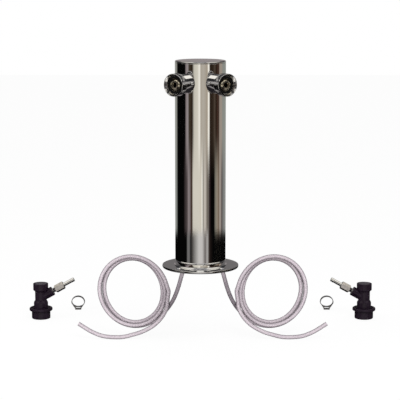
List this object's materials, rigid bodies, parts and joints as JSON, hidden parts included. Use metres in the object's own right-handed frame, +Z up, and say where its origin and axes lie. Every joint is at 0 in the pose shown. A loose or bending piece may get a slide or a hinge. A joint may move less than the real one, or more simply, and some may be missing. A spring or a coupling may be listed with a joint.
{
  "type": "double tap beer tower",
  "caption": "Polished steel beer tower column on a round base with two radial shanks, coiled beer lines, keg couplers and line clamps.",
  "frame": {"origin": "centre of the base's underside, on the worktop that carries it", "axes": "+Z up along the column, -Y to the front where the two shanks point, +X to the right as seen from the front"},
  "size_m": [0.5708, 0.319, 0.4388],
  "materials": {
    "polished": "mirror-polished stainless steel",
    "nickel": "nickel-plated, satin",
    "steel": "machined stainless steel",
    "vinyl": "clear vinyl, smooth",
    "black": "moulded, satin",
    "rubber": "matte",
    "foam": "closed-cell foam",
    "nylon": "matte"
  },
  "bodies": {
    "tower": {"base_flange": "polished", "base_gasket": "rubber", "tower_column": "polished", "top_cap": "polished", "foam_sleeve": "foam", "shank_left": "nickel", "shank_collar_left": "polished", "seat_washer_left": "rubber", "saddle_washer_left": "steel", "lock_nut_left": "steel", "tail_pipe_left": "steel", "line_hidden_left": "vinyl", "line_coil_left": "vinyl", "line_drop_left": "vinyl", "line_tail_left": "vinyl", "tail_clamp_left": "steel", "coupler_body_left": "black", "collar_spring_left": "steel", "cap_plug_left": "black", "cap_seal_left": "rubber", "poppet_spring_left": "steel", "flare_stem_left": "steel", "flare_washer_left": "nylon", "hose_barb_left": "steel", "line_clamp_left": "steel", "lock_ball_left_1": "steel", "lock_ball_left_2": "steel", "lock_ball_left_3": "steel", "shank_right": "nickel", "shank_collar_right": "polished", "seat_washer_right": "rubber", "saddle_washer_right": "steel", "lock_nut_right": "steel", "tail_pipe_right": "steel", "line_hidden_right": "vinyl", "line_coil_right": "vinyl", "line_drop_right": "vinyl", "line_tail_right": "vinyl", "tail_clamp_right": "steel", "coupler_body_right": "black", "collar_spring_right": "steel", "cap_plug_right": "black", "cap_seal_right": "rubber", "poppet_spring_right": "steel", "flare_stem_right": "steel", "flare_washer_right": "nylon", "hose_barb_right": "steel", "line_clamp_right": "steel", "lock_ball_right_1": "steel", "lock_ball_right_2": "steel", "lock_ball_right_3": "steel"},
    "coupling_nut_left": {"coupling_nut_left": "polished"},
    "release_collar_left": {"release_collar_left": "black"},
    "poppet_left": {"poppet_left": "steel"},
    "swivel_nut_left": {"swivel_nut_left": "steel"},
    "coupling_nut_right": {"coupling_nut_right": "polished"},
    "release_collar_right": {"release_collar_right": "black"},
    "poppet_right": {"poppet_right": "steel"},
    "swivel_nut_right": {"swivel_nut_right": "steel"}
  },
  "joints": [
    {"name": "coupling_nut_left_turn", "type": "hinge", "parent": "tower", "child": "coupling_nut_left", "pos_m": [0, 0, 0.281], "axis": [-0.5592, -0.829, 0], "continuous": true},
    {"name": "release_collar_left_pull", "type": "slide", "parent": "tower", "child": "release_collar_left", "axis": [0, 0, 1], "range_m": [0, 0.006], "stiffness_N_per_m": 500, "springref_m": -0.006, "deforming": ["collar_spring_left"]},
    {"name": "poppet_left_lift", "type": "slide", "parent": "tower", "child": "poppet_left", "axis": [0, 0, 1], "range_m": [0, 0.0035], "stiffness_N_per_m": 400, "springref_m": -0.005, "deforming": ["poppet_spring_left"]},
    {"name": "swivel_nut_left_turn", "type": "hinge", "parent": "tower", "child": "swivel_nut_left", "pos_m": [-0.263, 0.186, -0.0911], "axis": [0.8746, 0, 0.4848], "continuous": true},
    {"name": "coupling_nut_right_turn", "type": "hinge", "parent": "tower", "child": "coupling_nut_right", "pos_m": [0, 0, 0.281], "axis": [0.5592, -0.829, 0], "continuous": true},
    {"name": "release_collar_right_pull", "type": "slide", "parent": "tower", "child": "release_collar_right", "axis": [0, 0, 1], "range_m": [0, 0.006], "stiffness_N_per_m": 500, "springref_m": -0.006, "deforming": ["collar_spring_right"]},
    {"name": "poppet_right_lift", "type": "slide", "parent": "tower", "child": "poppet_right", "axis": [0, 0, 1], "range_m": [0, 0.0035], "stiffness_N_per_m": 400, "springref_m": -0.005, "deforming": ["poppet_spring_right"]},
    {"name": "swivel_nut_right_turn", "type": "hinge", "parent": "tower", "child": "swivel_nut_right", "pos_m": [0.27, 0.186, -0.0911], "axis": [-0.8746, 0, 0.4848], "continuous": true}
  ]
}
